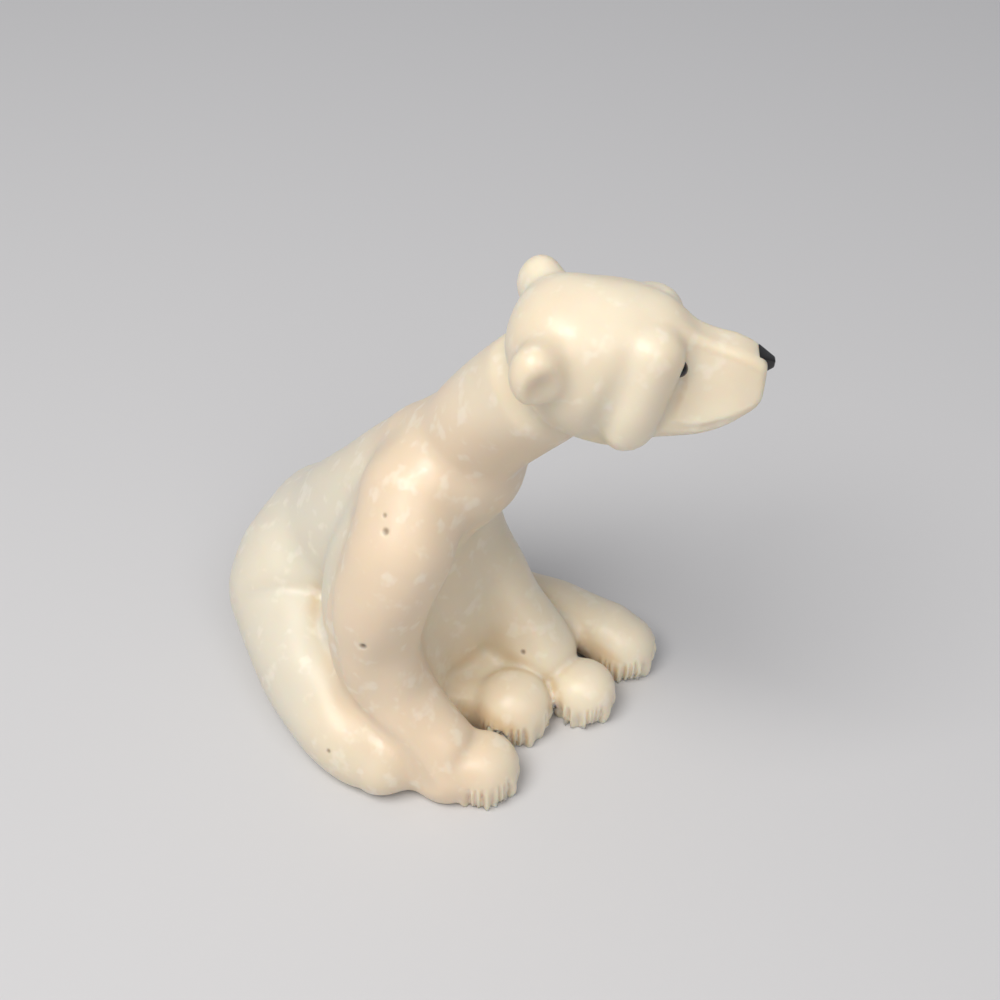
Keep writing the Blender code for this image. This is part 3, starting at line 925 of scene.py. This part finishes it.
def cream_stone():
    made, shader, start = finish_named("cream_stone")
    clouds = noise(start, 60.0, 3.0).ramp(0.3, 0.7)
    patches = noise(start, 330.0, 2.0, 0.55).ramp(0.54, 0.70)
    grain = noise(start, 2600.0, 3.0)
    colour = clouds.mix((0.80, 0.69, 0.52, 1), (0.84, 0.76, 0.60, 1))
    colour = (tint(start, "warm") * 0.8).mix(colour, (0.80, 0.65, 0.48, 1))
    colour = (tint(start, "cool") * 0.75).mix(colour, (0.74, 0.70, 0.59, 1))
    # Painted shade: the creases darkened towards a deep brown.
    colour = (tint(start, "closed_in").ramp(0.2, 1.0) * 0.5).mix(colour, (0.66, 0.47, 0.26, 1))
    colour = (patches * 0.35).mix(colour, (0.94, 0.89, 0.78, 1))
    colour = tint(start, "pitted").mix(colour, (0.16, 0.085, 0.025, 1))
    rough = 0.30 + 0.10 * clouds + 0.10 * grain - 0.05 * patches
    height = 0.5 * noise(start, 240.0, 2.0) + 0.3 * patches + 0.2 * grain
    bump = start.node("ShaderNodeBump", {}, {"Strength": 0.16, "Distance": 0.00012, "Height": height})
    feed(
        shader,
        Base_Color=colour,
        Roughness=rough,
        Normal=bump,
        Subsurface_Weight=0.8,
        Subsurface_Radius=(1.0, 0.66, 0.40),
        Subsurface_Scale=0.0022,
        Coat_Weight=0.12,
        Coat_Roughness=0.2,
    )
    return made


# %% [markdown]
# ## Black stone
# The nose and eyes are polished much brighter than the body, nearly to a mirror, which makes the
# face look wet and awake. Faint clouds keep the black from looking like paint.

# %% Black stone
def black_stone():
    made, shader, start = finish_named("black_stone")
    clouds = noise(start, 900.0, 3.0)
    colour = clouds.mix((0.006, 0.006, 0.007, 1), (0.02, 0.018, 0.018, 1))
    feed(shader, Base_Color=colour, Roughness=0.12 + 0.12 * clouds)
    return made


stone.data.materials.append(cream_stone())
black = black_stone()
for piece in (nose, *beads):
    piece.data.materials.append(black)
print("finishes:", [material.name for material in bpy.data.materials])

# %% [markdown]
# ## Floor, light and camera
# A plain pale floor, one wide soft light above, a weaker one and a weak even background light keep the
# form readable.

# %% Floor
floor_form = bmesh.new()
bmesh.ops.create_circle(floor_form, cap_ends=True, segments=96, radius=3.0)
floor = new_object("floor", floor_form)
floor_finish, floor_shader, start = finish_named("pale_floor")
feed(floor_shader, Base_Color=(0.62, 0.62, 0.63, 1), Roughness=0.6)
floor.data.materials.append(floor_finish)


print("floor is", round(floor.dimensions.x, 1), "m wide")

# %% [markdown]
# ## Light
# The main light stands high at the camera's left, as the shine on the head and shoulder shows, and
# is small enough to leave soft shadows. A weaker one lifts the shaded side of the arms.

# %% Lights
def soft_light(name, azimuth, elevation, distance, size, watts, colour):
    data = bpy.data.lights.new(name, "AREA")
    data.shape = "DISK"
    data.size = size
    data.energy = watts
    data.color = colour
    lamp = bpy.data.objects.new(name, data)
    bpy.context.scene.collection.objects.link(lamp)
    a, e = math.radians(azimuth), math.radians(elevation)
    back = Vector((math.sin(a) * math.cos(e), -math.cos(a) * math.cos(e), math.sin(e)))
    lamp.location = MIDDLE + back * distance
    lamp.rotation_euler = back.to_track_quat("Z", "Y").to_euler()


MIDDLE = to_frame((0, -15, 40))
soft_light("overhead", -95, 62, 0.7, 0.45, 3.9, (1.0, 0.97, 0.93))
soft_light("front_fill", -25, 50, 0.9, 0.5, 1.7, (1.0, 0.97, 0.95))
world = bpy.data.worlds.new("studio")
bpy.context.scene.world = world
world.use_nodes = True
world.node_tree.nodes["Background"].inputs["Color"].default_value = (0.9, 0.93, 1.0, 1)
world.node_tree.nodes["Background"].inputs["Strength"].default_value = 0.30

print("lights:", [thing.name for thing in bpy.data.lights])

# %% [markdown]
# ## Camera
# The camera looks down at the bear from its right and front, as a person does at a small carving
# on a table. Its place is worked out from an azimuth, an elevation and a distance in bear's units.

# %% Camera
CAMERA_TARGET = (10.466, -18.998, 39.0)
CAMERA_AZIMUTH = -51.5
CAMERA_ELEVATION = 43.0
CAMERA_DISTANCE = 283
FIELD_OF_VIEW = 35.0
camera_data = bpy.data.cameras.new("camera")
camera = bpy.data.objects.new("camera", camera_data)
bpy.context.scene.collection.objects.link(camera)
bpy.context.scene.camera = camera
a, e = math.radians(CAMERA_AZIMUTH), math.radians(CAMERA_ELEVATION)
back = Vector((math.sin(a) * math.cos(e), -math.cos(a) * math.cos(e), math.sin(e)))
camera.location = to_frame(CAMERA_TARGET) + back * CAMERA_DISTANCE * UNIT
camera.rotation_euler = back.to_track_quat("Z", "Y").to_euler()
camera_data.sensor_width = 36.0
camera_data.lens = camera_data.sensor_width / 2 / math.tan(math.radians(FIELD_OF_VIEW / 2))
bpy.context.scene.view_settings.view_transform = "Standard"

print("camera is", round(CAMERA_DISTANCE * UNIT, 3), "m from its target")
